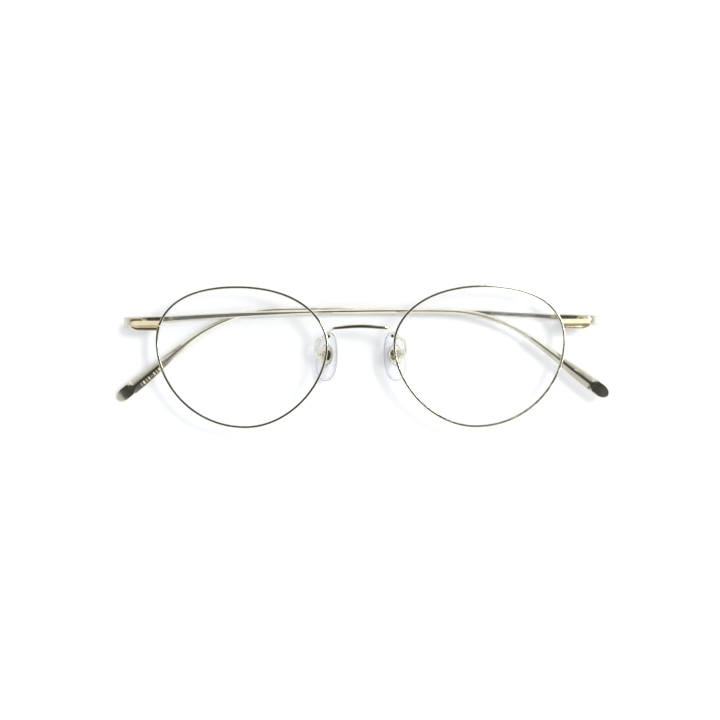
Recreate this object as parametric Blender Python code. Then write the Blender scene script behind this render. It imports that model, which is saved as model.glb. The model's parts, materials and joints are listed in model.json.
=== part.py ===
"""Round metal eyeglasses, folded and lying front up on a table.

+X is the viewer's right, +Y is towards the brow, +Z is up, out of the front of the lenses.
"right" and "left" are the wearer's, so the right side is at -X. The origin is on the table,
under the middle of the object. Sizes are in millimetres, and MM turns them into metres.
Side positions are given as (out, y, z), where out is the distance from the middle plane and
z is measured from the crown of the lenses.
"""

import math

import bmesh
import bpy
import numpy as np
from mathutils import Matrix, Vector

MM = 0.001
SHARP_ANGLE = 32.0
SIDES = {"right": -1, "left": 1}

# Front: boxed lens size, distance between lenses, and where the lens outline is widest.
LENS_WIDTH = 48.0
BRIDGE_WIDTH = 19.0
LENS_TOP = 19.8
LENS_BOTTOM = -19.6
NASAL_LEVEL = 3.6
TEMPORAL_LEVEL = 4.6
TOP_SHIFT = 1.6        # the highest point lies this far to the temple side
BOTTOM_SHIFT = -1.1    # the lowest point lies this far to the nose side
LENS_CURVE_RADIUS = 132.0
WRAP_ANGLE = 4.0
LENS_THICKNESS = 1.5
FRONT_HEIGHT = 13.7    # crown of the lenses above the table

# Eyewire, a grooved wire around each lens.
RIM_HALF_WIDTH = 0.35
RIM_HALF_DEPTH = 0.85
GROOVE_HALF_WIDTH = 0.36
GROOVE_BOTTOM = 0.05
RIM_SLIT = 0.3
RIM_SLIT_LEVEL = 9.05
SOLDER_GAP = 0.12

# Bridge, from the solder joint to the middle: out, y, z, half height, half depth.
BRIDGE_HALF_PATH = (
    (9.12, 5.75, -0.60, 0.44, 0.55),
    (8.78, 6.70, -0.40, 0.34, 0.60),
    (8.30, 7.60, -0.10, 0.36, 0.65),
    (7.40, 8.10, 0.15, 0.44, 0.70),
    (5.00, 8.32, 0.50, 0.52, 0.75),
    (2.50, 8.52, 0.80, 0.54, 0.78),
    (0.00, 8.60, 0.90, 0.54, 0.80),
)

# Lug on each end of the front.
LUG_TOP = 10.45
LUG_BEVEL = 9.6            # the top edge is bevelled from this level
LUG_BOTTOM = 7.65
LUG_END = 65.0
LUG_ROUND = 2.7            # the lower outer corner is rounded over this length
LUG_ROOT = 57.4
LUG_SETBACK = 0.05         # how fast the face falls back towards the outer end
LUG_FRONT = -3.1
LUG_THICKNESS = 1.9
LUG_SHOULDER = 11.2
LUG_SHOULDER_START = 61.4
LUG_STATIONS = (58.6, 60.4, 61.2, 61.6, 62.4, 63.2, 63.9, 64.4, 64.75, LUG_END)

# Closing blocks on the ends of the eyewire, with their screw.
RIM_LOCK_OUT = (57.0, 60.2)
RIM_LOCK_DEPTH = (-7.4, -5.35)
RIM_LOCK_LEVELS = (8.05, 10.4)
RIM_LOCK_SEAM = 0.08
RIM_LOCK_BORE = 0.55
RIM_SCREW = (58.9, -6.4)
RIM_SCREW_PROFILE = ((7.68, 0.6), (7.76, 0.8), (8.0, 0.8), (8.0, 0.47), (10.2, 0.47))
DRIVER_SLOT = 0.12         # half width

# Hinge.
PIVOT = Vector((62.2, 9.5, -11.0))
HINGE_CANT = 2.9
KNUCKLE_RADIUS = 1.05
HINGE_HALF_HEIGHT = 1.35
SLOT_HALF_HEIGHT = 0.5
MIDDLE_HALF_HEIGHT = 0.42
BORE_RADIUS = 0.42
PIN_RADIUS = 0.36
LEAF_BACK = -1.32

# Temples: length along the curve, bend and paddle.
TEMPLE_FRONT_OVERHANG = 5.3
TEMPLE_OFFSET = 2.1        # bar's middle behind the hinge axis when folded
TEMPLE_THICKNESS = 1.2
TEMPLE_LIFT = 1.15         # bar's middle above the hinge's middle
TEMPLE_BOW_RADIUS = 1000.0
TEMPLE_LENGTH = 144.6
BEND_RADIUS = 44.0
TEMPLE_TIP = 25.0          # straight stretch behind the bend
PADDLE_END_LENGTH = 2.6
TEMPLE_HEIGHTS = ((0, 2.6), (5, 2.3), (16, 1.6), (60, 1.4), (110, 1.5), (123, 2.3), (137, 3.9), (146, 4.1))
RIDGE = 0.16
HINGE_LANDING = 11.0       # the inner side is flat this far, under the hinge leaf
TEMPLE_FIT = {  # each temple as adjusted: rise at the hinge, bend, and lean towards the front
    "right": {"rise": 4.1, "bend": 36.3, "lean": 3.4},
    "left": {"rise": 4.8, "bend": 38.5, "lean": 0.0},
}

# Nose pads.
PAD_AXIS = Vector((10.96, 0.7, -7.1))
PAD_SPLAY = 44.0
PAD_FRONTAL = 5.0
PAD_LENGTH = 14.0
PAD_WIDTH = 8.0
PAD_TEARDROP = 0.10
PAD_MIDDLE = Vector((0.0, -0.4, -2.1))
PAD_SHAPE = ((0.85, 0.80), (0.55, 0.94), (0.05, 1.0), (-0.5, 0.94), (-0.85, 0.76), (-1.05, 0.42))
CORE_LENGTH = 5.5
CORE_WIDTH = 5.4
CORE_DEPTHS = (0.3, 0.7)
CORE_CLEARANCE = 0.1
PAD_PIN_BORE = 0.33
PAD_PIN_PROFILE = ((-1.05, 0.27), (1.1, 0.27), (1.1, 0.5), (1.35, 0.5), (1.42, 0.36))
PAD_ARM_RADIUS = 0.34
PAD_ARM_ROUTE = (  # from the back of the eyewire
    (9.78, 5.1, -1.6),
    (10.3, 5.25, -2.4),
    (11.5, 5.1, -3.2),
    (12.4, 4.4, -4.1),
    (12.7, 3.1, -4.8),
    (12.8, 1.6, -5.2),
)
PAD_ARM_END = (2.0, 1.3)   # the arm runs into the box between these distances from its pin

GOLD = ("champagne_gold", (0.72, 0.66, 0.46), 0.16, 1.0)
SCREW_GOLD = ("screw_gold", (0.60, 0.54, 0.36), 0.25, 1.0)
LENS_CLEAR = ("clear_lens", (0.93, 0.96, 0.95), 0.03, 0.0)
SILICONE = ("clear_silicone", (0.90, 0.92, 0.93), 0.30, 0.0)


def clear_scene():
    for item in list(bpy.data.objects):
        bpy.data.objects.remove(item, do_unlink=True)


def material(finish):
    name, colour, roughness, metallic = finish
    found = bpy.data.materials.get(name)
    if found:
        return found
    made = bpy.data.materials.new(name)
    made.use_nodes = True
    shader = made.node_tree.nodes["Principled BSDF"]
    shader.inputs["Base Color"].default_value = (*colour, 1.0)
    shader.inputs["Roughness"].default_value = roughness
    shader.inputs["Metallic"].default_value = metallic
    made.diffuse_color = (*colour, 1.0)
    return made


# ---- mesh helpers -------------------------------------------------------------------------


def add_object(name, mesh, finish, parent):
    made = bpy.data.objects.new(name, mesh)
    bpy.context.collection.objects.link(made)
    made.parent = parent
    if finish:
        mesh.materials.append(material(finish))
    return made


def loft(name, rings, finish, parent):
    """A closed solid through rings of equally many points, with a cap on each end."""
    work = bmesh.new()
    rows = [[work.verts.new(Vector(p) * MM) for p in ring] for ring in rings]
    count = len(rows[0])
    for a, b in zip(rows, rows[1:]):
        for i in range(count):
            j = (i + 1) % count
            work.faces.new((a[i], a[j], b[j], b[i]))
    work.faces.new(rows[0])
    work.faces.new(list(reversed(rows[-1])))
    bmesh.ops.recalc_face_normals(work, faces=work.faces)
    mesh = bpy.data.meshes.new(name)
    work.to_mesh(mesh)
    work.free()
    mesh.shade_smooth()
    mesh.set_sharp_from_angle(angle=math.radians(SHARP_ANGLE))
    return add_object(name, mesh, finish, parent)


def circle(radius, count, axis, along, middle):
    """A ring of points around X or Y at a distance along that axis."""
    ring = []
    for i in range(count):
        turn = 2 * math.pi * i / count
        a, b = radius * math.cos(turn), radius * math.sin(turn)
        point = (along, a, b) if axis == "X" else (b, along, a)
        ring.append(Vector(point) + Vector(middle))
    return ring


def turned(name, profile, axis, finish, parent, middle=(0, 0, 0), count=16):
    """A turned solid: profile is a list of (distance along the axis, radius)."""
    rings = [circle(radius, count, axis, along, middle) for along, radius in profile]
    return loft(name, rings, finish, parent)


def prism(name, outline, low, high, finish, parent):
    """An outline of (x, z) points made solid from low to high along Y."""
    rings = [[(x, y, z) for x, z in outline] for y in (low, high)]
    return loft(name, rings, finish, parent)


def block(name, low, high, finish, parent):
    outline = [(low[0], low[2]), (high[0], low[2]), (high[0], high[2]), (low[0], high[2])]
    return prism(name, outline, low[1], high[1], finish, parent)


def hide_helper(helper):
    helper.hide_render = True
    helper.display_type = "WIRE"


def combine(target, other, operation):
    """Cuts or joins a helper solid with a Boolean that stays on the target."""
    hide_helper(other)
    step = target.modifiers.new(other.name, "BOOLEAN")
    step.operation = operation
    step.object = other


def smooth_through(points, count):
    """Points along a Catmull-Rom curve through the given ones; all their values are blended."""
    p = np.array(points, float)
    p = np.vstack([2 * p[0] - p[1], p, 2 * p[-1] - p[-2]])
    out = []
    for t in np.linspace(0, len(points) - 1, count):
        i = min(int(t), len(points) - 2)
        f = t - i
        a, b, c, d = p[i:i + 4]
        square = 2 * a - 5 * b + 4 * c - d
        cube = 3 * b - a - 3 * c + d
        out.append(0.5 * (2 * b + (c - a) * f + square * f ** 2 + cube * f ** 3))
    return out


def empty(name, parent, location=(0, 0, 0), turn=None):
    made = bpy.data.objects.new(name, None)
    bpy.context.collection.objects.link(made)
    made.parent = parent
    matrix = Matrix.Translation(Vector(location) * MM)
    made.matrix_local = matrix @ turn.to_4x4() if turn else matrix
    return made


def outward(sign, point):
    """A side position (out, y, z) as a point of the front's frame."""
    return Vector((sign * point[0], point[1], point[2]))


# ---- lens outline -------------------------------------------------------------------------


def bezier(a, b, c, d, count):
    t = np.linspace(0, 1, count, endpoint=False)[:, None]
    a, b, c, d = (np.array(v, float) for v in (a, b, c, d))
    return (1 - t) ** 3 * a + 3 * (1 - t) ** 2 * t * b + 3 * (1 - t) * t * t * c + t ** 3 * d


def lens_outline():
    """A dense closed outline (towards the temple, up), from four extreme points with level handles."""
    half = LENS_WIDTH / 2
    nasal = np.array((-half, NASAL_LEVEL))
    top = np.array((TOP_SHIFT, LENS_TOP))
    temporal = np.array((half, TEMPORAL_LEVEL))
    bottom = np.array((BOTTOM_SHIFT, LENS_BOTTOM))
    # corner, its outgoing direction, and handle lengths as shares of the quarter's span
    quarters = (
        (nasal, (0, 1), 0.40, top, (1, 0), 0.73),
        (top, (1, 0), 0.66, temporal, (0, -1), 0.61),
        (temporal, (0, -1), 0.49, bottom, (-1, 0), 0.60),
        (bottom, (-1, 0), 0.53, nasal, (0, 1), 0.49),
    )
    parts = []
    for start, leave, share_a, end, arrive, share_b in quarters:
        span = np.abs(end - start)
        leave, arrive = np.array(leave), np.array(arrive)
        handle_a = start + leave * share_a * np.dot(span, np.abs(leave))
        handle_b = end - arrive * share_b * np.dot(span, np.abs(arrive))
        parts.append(bezier(start, handle_a, handle_b, end, 300))
    return np.vstack(parts)


OUTLINE = lens_outline()


def outline_stations(count, slit=None):
    """Evenly spaced points and outward normals; with a slit, an open run that starts and ends beside it."""
    points = OUTLINE
    if slit is not None:
        beside = np.where((points[:, 0] > 0), np.abs(points[:, 1] - RIM_SLIT_LEVEL), np.inf)
        points = np.roll(points, -int(np.argmin(beside)), axis=0)
    points = np.vstack([points, points[:1]])
    steps = np.r_[0, np.cumsum(np.linalg.norm(np.diff(points, axis=0), axis=1))]
    edge = 0 if slit is None else slit / 2
    wanted = np.linspace(edge, steps[-1] - edge, count, endpoint=slit is not None)
    at = np.c_[np.interp(wanted, steps, points[:, 0]), np.interp(wanted, steps, points[:, 1])]
    reach = 0.2
    ahead = np.c_[np.interp((wanted + reach) % steps[-1], steps, points[:, 0]),
                  np.interp((wanted + reach) % steps[-1], steps, points[:, 1])]
    behind = np.c_[np.interp((wanted - reach) % steps[-1], steps, points[:, 0]),
                   np.interp((wanted - reach) % steps[-1], steps, points[:, 1])]
    tangent = ahead - behind
    normal = np.c_[-tangent[:, 1], tangent[:, 0]]
    normal /= np.linalg.norm(normal, axis=1)[:, None]
    return at, normal


def lens_depth(towards_temple, up):
    """Depth of the lens's middle surface: a shallow dome, wrapped back at the temple side."""
    dome = (towards_temple ** 2 + up ** 2) / (2 * LENS_CURVE_RADIUS)
    return -dome - towards_temple * math.tan(math.radians(WRAP_ANGLE))


def lens_point(sign, towards_temple, up, depth):
    """A point of one side's lens, with depth measured from the lens's middle surface."""
    out = (LENS_WIDTH + BRIDGE_WIDTH) / 2 + towards_temple
    return outward(sign, (out, up, lens_depth(towards_temple, up) + depth))


def rim_out(level, beyond):
    """Distance from the middle plane to a line this far outside the eyewire's centre, at the temple side."""
    tangent = np.roll(OUTLINE, -1, axis=0) - np.roll(OUTLINE, 1, axis=0)
    normal = np.c_[-tangent[:, 1], tangent[:, 0]] / np.linalg.norm(tangent, axis=1)[:, None]
    line = OUTLINE + normal * beyond
    side = line[line[:, 0] > LENS_WIDTH / 4]
    order = np.argsort(side[:, 1])
    return (LENS_WIDTH + BRIDGE_WIDTH) / 2 + float(np.interp(level, side[order, 1], side[order, 0]))


# ---- front --------------------------------------------------------------------------------


def make_rim(side, sign, front):
    w, d, g = RIM_HALF_WIDTH, RIM_HALF_DEPTH, GROOVE_HALF_WIDTH
    edge, crown = d - 0.25, 0.12  # the outer corners are bevelled from this depth to this width
    outer_side = ((w, -edge), (w, edge), (crown, d), (-w, d))
    groove = ((-w, g), (GROOVE_BOTTOM, 0.0), (-w, -g))
    profile = (*outer_side, *groove, (-w, -d), (crown, -d))
    at, normal = outline_stations(90, RIM_SLIT)
    rings = []
    for point, across in zip(at, normal):
        ring = []
        for shift, depth in profile:
            place = point + across * shift
            middle = lens_depth(*point)
            out = (LENS_WIDTH + BRIDGE_WIDTH) / 2 + place[0]
            ring.append(outward(sign, (out, place[1], middle + depth)))
        rings.append(ring)
    loft(f"rim_{side}", rings, GOLD, front)


def make_lens(side, sign, front):
    shoulder = -RIM_HALF_WIDTH - 0.10
    apex = GROOVE_BOTTOM - 0.12
    half = LENS_THICKNESS / 2
    shrink = (0.05, 0.4, 0.72)
    at, normal = outline_stations(60)
    rings = []
    for share in shrink:
        rings.append([lens_point(sign, *(p * share), -half) for p in at])
    for shift, depth in ((shoulder, -half), (shoulder, -GROOVE_HALF_WIDTH), (apex, 0.0),
                         (shoulder, GROOVE_HALF_WIDTH), (shoulder, half)):
        rings.append([lens_point(sign, *(p + n * shift), depth) for p, n in zip(at, normal)])
    for share in reversed(shrink):
        rings.append([lens_point(sign, *(p * share), half) for p in at])
    loft(f"lens_{side}", rings, LENS_CLEAR, front)


def make_bridge(front):
    """A bar arched over the nose, with a leg down to each eyewire."""
    right = [(-out, *rest) for out, *rest in BRIDGE_HALF_PATH]
    left = [(out, *rest) for out, *rest in reversed(BRIDGE_HALF_PATH[:-1])]
    path = smooth_through(right + left, 37)
    rings = []
    for i, (x, y, z, tall, deep) in enumerate(path):
        ahead = np.array(path[min(i + 1, len(path) - 1)][:3]) - np.array(path[max(i - 1, 0)][:3])
        along = Vector(ahead).normalized()
        up = Vector((0, 0, 1)).cross(along).normalized()
        forward = along.cross(up).normalized()
        ring = []
        for k in range(10):
            turn = 2 * math.pi * k / 10
            ring.append(Vector((x, y, z)) + up * tall * math.cos(turn) + forward * deep * math.sin(turn))
        rings.append(ring)
    loft("bridge", rings, GOLD, front)


def make_lug(side, sign, front):
    """The visible end of the front: bevelled on top, rounded at its outer end, with a rear shoulder."""
    rings = []
    round_start = LUG_END - LUG_ROUND
    for out in (None, *LUG_STATIONS):
        low, high, bevel, shoulder = LUG_BOTTOM, LUG_TOP, LUG_BEVEL, LUG_TOP + 0.05
        if out and out > round_start:
            share = (out - round_start) / (LUG_END - round_start)
            low += 1.75 * (1 - math.sqrt(1 - share ** 2))
            high -= 0.45 * share ** 6
            bevel -= 0.15 * share ** 6
            shoulder = high + 0.05
        if out and out > LUG_SHOULDER_START:
            shoulder = LUG_SHOULDER - 0.3 * max(0.0, out - 64.3)
        face = LUG_FRONT - LUG_SETBACK * ((out or LUG_ROOT) - LUG_ROOT)
        back = face - LUG_THICKNESS
        loop = ((low, back), (low, face - 0.35), (low + 0.25, face), (bevel, face), (high, face - 0.75),
                (high, back + 0.75), (shoulder, back + 0.6), (shoulder, back))
        ring = []
        for y, z in loop:
            edge = rim_out(y, RIM_HALF_WIDTH + SOLDER_GAP)
            ring.append(outward(sign, (edge if out is None else out, y, z)))
        rings.append(ring)
    loft(f"lug_{side}", rings, GOLD, front)


def make_rim_lock(side, sign, front):
    """Two blocks on the ends of the eyewire, clamped by a screw from below."""
    ends = sorted(sign * out for out in RIM_LOCK_OUT)
    back, face = RIM_LOCK_DEPTH
    bottom, top = RIM_LOCK_LEVELS
    spans = {
        "upper": (RIM_SLIT_LEVEL + RIM_LOCK_SEAM, top),
        "lower": (bottom, RIM_SLIT_LEVEL - RIM_LOCK_SEAM),
    }
    screw_x, screw_z = sign * RIM_SCREW[0], RIM_SCREW[1]
    for which, (low, high) in spans.items():
        half = block(f"rim_lock_{which}_{side}", (ends[0], low, back), (ends[1], high, face), GOLD, front)
        hole = ((low - 1, RIM_LOCK_BORE), (high + 1, RIM_LOCK_BORE))
        bore = turned(f"cutter_lock_{which}_{side}", hole, "Y", None, front, (screw_x, 0, screw_z))
        combine(half, bore, "DIFFERENCE")
    screw = turned(f"rim_screw_{side}", RIM_SCREW_PROFILE, "Y", SCREW_GOLD, front, (screw_x, 0, screw_z))
    slot = block(f"cutter_rim_screw_{side}", (screw_x - 1, 7.4, screw_z - DRIVER_SLOT),
                 (screw_x + 1, 7.82, screw_z + DRIVER_SLOT), None, front)
    combine(screw, slot, "DIFFERENCE")


# ---- hinge --------------------------------------------------------------------------------


def hinge_direction(sign):
    """The hinge axis leans a little outwards and back, so that open temples slope down."""
    lean = math.tan(math.radians(HINGE_CANT))
    return Vector((sign * lean, 1.0, -lean)).normalized()


def arc(radius, start, end, count):
    turns = np.radians(np.linspace(start, end, count))
    return [(radius * math.cos(t), radius * math.sin(t)) for t in turns]


def make_hinge(side, sign, front, carrier):
    """Front leaf and screw on the front, temple leaf on the temple, all square to the hinge axis."""
    cant = Vector((0, 1, 0)).rotation_difference(hinge_direction(sign)).to_matrix()
    fixed = empty(f"hinge_{side}_frame", front, outward(sign, PIVOT), cant)
    moving = empty(f"hinge_{side}_leaf_frame", carrier, (0, 0, 0), cant)
    r = KNUCKLE_RADIUS

    outline = [(-1.05, 5.45), (1.0, 5.45), (1.0, 4.6), (0.35, 3.6)] + arc(r, 70.5, -180, 16)
    outline = [(sign * x, z) for x, z in outline]
    leaf = prism(f"hinge_front_leaf_{side}", outline, -HINGE_HALF_HEIGHT, HINGE_HALF_HEIGHT, GOLD, fixed)
    gap = ((-SLOT_HALF_HEIGHT, 1.3), (SLOT_HALF_HEIGHT, 1.3))
    slot = turned(f"cutter_slot_{side}", gap, "Y", None, fixed)
    bore = turned(f"cutter_bore_{side}", ((-3, BORE_RADIUS), (3, BORE_RADIUS)), "Y", None, fixed)
    combine(leaf, slot, "DIFFERENCE")
    combine(leaf, bore, "DIFFERENCE")

    outline = [(-2.4, -0.88), (-2.4, LEAF_BACK), (0.2, LEAF_BACK), (0.4, -0.97)] + arc(r, -67, 222, 18)
    outline = [(sign * x, z) for x, z in outline]
    leaf = prism(f"hinge_temple_leaf_{side}", outline, -MIDDLE_HALF_HEIGHT, MIDDLE_HALF_HEIGHT, GOLD, moving)
    ends = sorted((sign * -1.5, sign * -5.2))
    plate = block(f"helper_plate_{side}", (ends[0], -0.30, LEAF_BACK), (ends[1], 1.9, -0.92), None, moving)
    bore = turned(f"cutter_middle_bore_{side}", ((-3, BORE_RADIUS), (3, BORE_RADIUS)), "Y", None, moving)
    combine(leaf, plate, "UNION")
    combine(leaf, bore, "DIFFERENCE")

    head = HINGE_HALF_HEIGHT + 0.05
    shaft = ((-HINGE_HALF_HEIGHT, PIN_RADIUS), (head, PIN_RADIUS))
    profile = (*shaft, (head, 0.8), (head + 0.28, 0.8), (head + 0.38, 0.6))
    screw = turned(f"hinge_screw_{side}", profile, "Y", SCREW_GOLD, fixed)
    slot = block(f"cutter_hinge_screw_{side}", (-1, head + 0.18, -DRIVER_SLOT), (1, head + 0.6, DRIVER_SLOT),
                 None, fixed)
    combine(screw, slot, "DIFFERENCE")


# ---- temples ------------------------------------------------------------------------------


def temple_height(along):
    """Height of the bar along its length, ending in a rounded paddle."""
    lengths, heights = zip(*TEMPLE_HEIGHTS)
    i = min(max(int(np.searchsorted(lengths, along)), 1), len(lengths) - 1)
    share = (along - lengths[i - 1]) / (lengths[i] - lengths[i - 1])
    ease = share * share * (3 - 2 * share)
    return heights[i - 1] + (heights[i] - heights[i - 1]) * ease


def temple_stations(rise, bend):
    """(length along, s, v, heading) from the front end: a faint bow, the bend, then a straight tip."""
    bend_end = TEMPLE_LENGTH - TEMPLE_TIP
    straight = bend_end - BEND_RADIUS * math.radians(bend)
    paddle_end = np.sin(np.radians((0, 25, 45, 62, 76, 86)))
    wanted = np.r_[
        0, 0.5, 2, np.arange(5, straight, 6.5),
        np.arange(straight, TEMPLE_LENGTH - PADDLE_END_LENGTH - 1, 2.5),
        TEMPLE_LENGTH - PADDLE_END_LENGTH * (1 - paddle_end),
    ]
    step = 0.05
    heading = math.radians(rise)
    s, v, along = -TEMPLE_FRONT_OVERHANG, TEMPLE_LIFT - TEMPLE_FRONT_OVERHANG * math.tan(heading), 0.0
    found = []
    for target in wanted:
        while along < target:
            bending = straight < along < bend_end
            bowing = along <= straight
            heading -= step / BEND_RADIUS if bending else step / TEMPLE_BOW_RADIUS if bowing else 0
            s += step * math.cos(heading)
            v += step * math.sin(heading)
            along += step
        found.append((target, s, v, heading))
    return found


def make_temple(side, sign, carrier):
    """A one-piece bar: flat outside, a low ridge inside, flared to a thin paddle behind the ear."""
    fit = TEMPLE_FIT[side]
    outer = -TEMPLE_OFFSET - TEMPLE_THICKNESS / 2
    inner = -TEMPLE_OFFSET + TEMPLE_THICKNESS / 2
    rings = []
    for along, s, v, heading in temple_stations(fit["rise"], fit["bend"]):
        half = temple_height(along) / 2
        to_end = TEMPLE_LENGTH - along
        if to_end < PADDLE_END_LENGTH:
            half *= math.sqrt(1 - (1 - to_end / PADDLE_END_LENGTH) ** 2)
        side_facet = min(0.32, 0.45 * half)
        ridge = RIDGE * min(1.0, half) * min(1.0, max(0.0, (along - HINGE_LANDING) / 6))
        lift = 0.35 * max(0.0, 1 - along / 5)  # the front end is relieved on its outer side
        across = Vector((-math.sin(heading), math.cos(heading)))
        ring = []
        for height, depth in ((-half + side_facet, outer + lift), (half - side_facet, outer + lift),
                              (half, outer + lift + 0.3), (half, inner - 0.25), (half - side_facet, inner),
                              (0.0, inner + ridge), (-half + side_facet, inner), (-half, inner - 0.25),
                              (-half, outer + lift + 0.3)):
            ring.append(Vector((-sign * (s + across.x * height), v + across.y * height, depth)))
        rings.append(ring)
    loft(f"temple_{side}", rings, GOLD, carrier)


# ---- nose pads ----------------------------------------------------------------------------


def oval(width, length, count, teardrop):
    """An ellipse of points, narrower towards +Y by the teardrop share."""
    ring = []
    for i in range(count):
        turn = 2 * math.pi * i / count
        across, along = math.cos(turn), math.sin(turn)
        ring.append((width / 2 * across * (1 - teardrop * along), length / 2 * along))
    return ring


def oval_solid(name, sizes, middle, finish, parent, count, teardrop=0.0):
    """Stacked ovals: sizes is a list of (z, width, length)."""
    rings = []
    for z, width, length in sizes:
        rings.append([Vector((x, y, z)) + middle for x, y in oval(width, length, count, teardrop)])
    return loft(name, rings, finish, parent)


def pad_turn(sign):
    """Pad frame: X across the pad, Y along it, Z away from the nose."""
    splay = math.radians(PAD_SPLAY)
    away = Vector((sign * math.cos(splay), 0, math.sin(splay)))
    along = Vector((0, 1, 0))
    across = along.cross(away)
    turn = Matrix((across, along, away)).transposed()
    return Matrix.Rotation(math.radians(sign * PAD_FRONTAL), 3, "Z") @ turn


def make_pad(side, sign, front):
    """Silicone pad with a metal core, pinned in a box on a wire arm. Z = 0 is the pin's axis."""
    turn = pad_turn(sign)
    fixed = empty(f"pad_box_{side}_frame", front, outward(sign, PAD_AXIS), turn)
    moving = empty(f"nose_pad_{side}_axis", front, outward(sign, PAD_AXIS), turn)

    sizes = [(z, PAD_WIDTH * share, PAD_LENGTH - PAD_WIDTH * (1 - share)) for z, share in PAD_SHAPE]
    pad = oval_solid(f"nose_pad_{side}", sizes, PAD_MIDDLE, SILICONE, moving, 28, PAD_TEARDROP)
    core_middle = Vector((0, 0, PAD_MIDDLE.z))
    wide, long = CORE_WIDTH + 2 * CORE_CLEARANCE, CORE_LENGTH + 2 * CORE_CLEARANCE
    sizes = [(z, wide, long) for z in (CORE_DEPTHS[0] - CORE_CLEARANCE, 1.5)]
    recess = oval_solid(f"cutter_recess_{side}", sizes, core_middle, None, moving, 20)
    combine(pad, recess, "DIFFERENCE")

    sizes = [(z, CORE_WIDTH, CORE_LENGTH) for z in CORE_DEPTHS]
    core = oval_solid(f"pad_core_{side}", sizes, core_middle, GOLD, moving, 20)
    bore = ((-2, PAD_PIN_BORE), (2, PAD_PIN_BORE))
    tongue = block(f"helper_tongue_{side}", (-0.45, -0.7, -1.6), (0.45, 0.7, 0.75), None, moving)
    hole = turned(f"cutter_tongue_{side}", bore, "X", None, moving, count=12)
    combine(core, tongue, "UNION")
    combine(core, hole, "DIFFERENCE")

    box = block(f"pad_box_{side}", (-1.05, -1.25, -0.8), (1.05, 1.25, 1.2), GOLD, fixed)
    inside = block(f"cutter_box_{side}", (-0.55, -1.5, -1.0), (0.55, 1.5, 0.95), None, fixed)
    hole = turned(f"cutter_cheeks_{side}", bore, "X", None, fixed, count=12)
    combine(box, inside, "DIFFERENCE")
    combine(box, hole, "DIFFERENCE")

    turned(f"pad_screw_{side}", PAD_PIN_PROFILE, "X", SCREW_GOLD, fixed, count=12)
    make_pad_arm(side, sign, front, turn)


def make_pad_arm(side, sign, front, turn):
    """A wire from the back of the eyewire, looped behind the lens to the back of the pad's box."""
    route = [outward(sign, point) for point in PAD_ARM_ROUTE]
    for distance in PAD_ARM_END:
        route.append(outward(sign, PAD_AXIS) + turn @ Vector((0, 0, distance)))
    path = smooth_through(route, 26)
    curve = bpy.data.curves.new(f"pad_arm_{side}", "CURVE")
    curve.dimensions = "3D"
    curve.bevel_depth = PAD_ARM_RADIUS * MM
    curve.bevel_resolution = 2
    curve.use_fill_caps = True
    spline = curve.splines.new("POLY")
    spline.points.add(len(path) - 1)
    for point, place in zip(spline.points, path):
        point.co = (*(Vector(place) * MM), 1.0)
    add_object(f"pad_arm_{side}", curve, GOLD, front)


# ---- assembly -----------------------------------------------------------------------------


def main():
    clear_scene()
    front = empty("front_frame", None, (0, 0, FRONT_HEIGHT))
    make_bridge(front)
    for side, sign in SIDES.items():
        make_rim(side, sign, front)
        make_lens(side, sign, front)
        make_lug(side, sign, front)
        make_rim_lock(side, sign, front)
        lean = Matrix.Rotation(math.radians(sign * TEMPLE_FIT[side]["lean"]), 3, hinge_direction(sign))
        carrier = empty(f"temple_{side}_axis", front, outward(sign, PIVOT), lean)
        make_hinge(side, sign, front, carrier)
        make_temple(side, sign, carrier)
        make_pad(side, sign, front)


main()
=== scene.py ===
"""The looks of a pair of round metal eyeglasses, folded and lying front up on a white table.

Every piece is built here as a fine mesh in the place of its CAD node, in the frame's own axes: +X is
the viewer's right, +Y is towards the brow, +Z is up. "right" and "left" are the wearer's, so the
right side is at -X. Sizes are in millimetres, and MM turns them into metres.
"""

import json
import math

import bmesh
import bpy
import numpy as np
from mathutils import Matrix, Vector


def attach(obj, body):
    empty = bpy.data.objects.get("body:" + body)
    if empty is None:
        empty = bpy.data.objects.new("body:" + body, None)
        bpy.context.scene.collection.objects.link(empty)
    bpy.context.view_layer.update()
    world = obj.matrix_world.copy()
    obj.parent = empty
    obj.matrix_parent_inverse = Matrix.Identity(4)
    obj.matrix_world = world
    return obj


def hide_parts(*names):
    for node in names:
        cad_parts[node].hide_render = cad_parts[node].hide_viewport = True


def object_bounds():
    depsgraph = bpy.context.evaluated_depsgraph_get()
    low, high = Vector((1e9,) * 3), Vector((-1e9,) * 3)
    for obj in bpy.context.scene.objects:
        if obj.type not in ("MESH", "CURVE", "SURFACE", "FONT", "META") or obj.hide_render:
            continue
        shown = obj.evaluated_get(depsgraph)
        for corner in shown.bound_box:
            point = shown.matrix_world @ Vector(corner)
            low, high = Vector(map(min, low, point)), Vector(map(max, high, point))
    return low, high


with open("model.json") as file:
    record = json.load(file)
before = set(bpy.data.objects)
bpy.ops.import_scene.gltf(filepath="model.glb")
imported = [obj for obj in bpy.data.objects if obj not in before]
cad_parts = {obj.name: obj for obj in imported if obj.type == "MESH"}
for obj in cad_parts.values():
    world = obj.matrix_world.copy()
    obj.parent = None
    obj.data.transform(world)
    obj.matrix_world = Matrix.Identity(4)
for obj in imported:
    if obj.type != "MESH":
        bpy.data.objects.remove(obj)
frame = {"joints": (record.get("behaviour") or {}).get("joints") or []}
cad_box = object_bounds()

MM = 0.001
SIDES = {"right": -1, "left": 1}

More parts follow.
